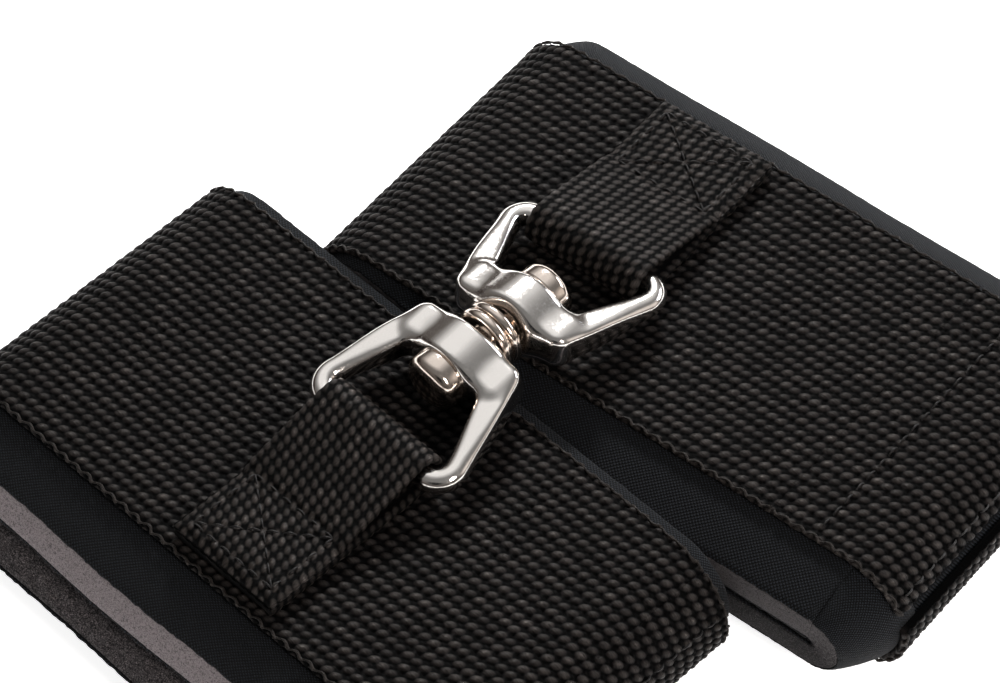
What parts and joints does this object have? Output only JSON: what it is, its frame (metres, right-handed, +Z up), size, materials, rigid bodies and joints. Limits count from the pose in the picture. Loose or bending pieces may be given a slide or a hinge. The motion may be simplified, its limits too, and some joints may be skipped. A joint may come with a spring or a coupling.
{
  "type": "linked ankle cuffs",
  "caption": "Padded webbing ankle cuffs with hook-and-loop flaps, lying flat, joined side by side by a double-eye metal swivel on sewn webbing keepers.",
  "frame": {"origin": "the middle of cuff A's underside, where its webbing lies on the table", "axes": "+X along the webbing towards the flaps, +Y from cuff A to cuff B along the swivel's rivet, +Z up"},
  "size_m": [0.1532, 0.1565, 0.0409],
  "materials": {
    "webbing": "woven polypropylene",
    "keeper_webbing": "woven polypropylene",
    "thread": "bonded nylon thread",
    "foam": "cut foam edge",
    "knit_facing": "fine knit",
    "knit_lining": "fine knit",
    "loop_tape": "brushed loop",
    "hook_tape": "moulded hooks",
    "plated_eye": "bright nickel plate",
    "plated_rivet": "bright nickel plate",
    "plated_washer": "bright nickel plate"
  },
  "bodies": {
    "cuff_a": {"band_a": "webbing", "foam_pad_a": "foam", "pad_facing_a": "knit_facing", "pad_lining_a": "knit_lining", "loop_tape_a": "loop_tape", "keeper_a": "keeper_webbing", "keeper_stitches_a": "thread", "band_stitches_a": "thread"},
    "closure_a": {"flap_a": "webbing", "hook_tape_a": "hook_tape", "flap_stitches_a": "thread"},
    "eye_a": {"eye_a": "plated_eye"},
    "pin": {"swivel_rivet": "plated_rivet", "washer_a": "plated_washer", "washer_b": "plated_washer"},
    "eye_b": {"eye_b": "plated_eye"},
    "cuff_b": {"band_b": "webbing", "foam_pad_b": "foam", "pad_facing_b": "knit_facing", "pad_lining_b": "knit_lining", "loop_tape_b": "loop_tape", "keeper_b": "keeper_webbing", "keeper_stitches_b": "thread", "band_stitches_b": "thread"},
    "closure_b": {"flap_b": "webbing", "hook_tape_b": "hook_tape", "flap_stitches_b": "thread"}
  },
  "joints": [
    {"name": "closure_a_fold", "type": "hinge", "parent": "cuff_a", "child": "closure_a", "pos_m": [0.06229, 0, 0.02161], "axis": [0, -1, 0], "range_deg": [0, 80]},
    {"name": "eye_a_lift", "type": "hinge", "parent": "cuff_a", "child": "eye_a", "pos_m": [0.004, 0.0075, 0.03135], "axis": [1, 0, 0], "range_deg": [0, 120]},
    {"name": "pin_spin", "type": "hinge", "parent": "eye_a", "child": "pin", "pos_m": [0.004, 0.03452, 0.0342], "axis": [0, 1, 0], "continuous": true},
    {"name": "eye_b_spin", "type": "hinge", "parent": "pin", "child": "eye_b", "pos_m": [0.004, 0.03452, 0.0342], "axis": [0, 1, 0], "continuous": true},
    {"name": "cuff_b_lift", "type": "hinge", "parent": "eye_b", "child": "cuff_b", "pos_m": [0.0017, 0.06141, 0.03135], "axis": [0.9936, 0.1132, 0], "range_deg": [0, 120]},
    {"name": "closure_b_fold", "type": "hinge", "parent": "cuff_b", "child": "closure_b", "pos_m": [0.06047, 0.07565, 0.027], "axis": [0.1132, -0.9936, 0], "range_deg": [0, 80]}
  ]
}
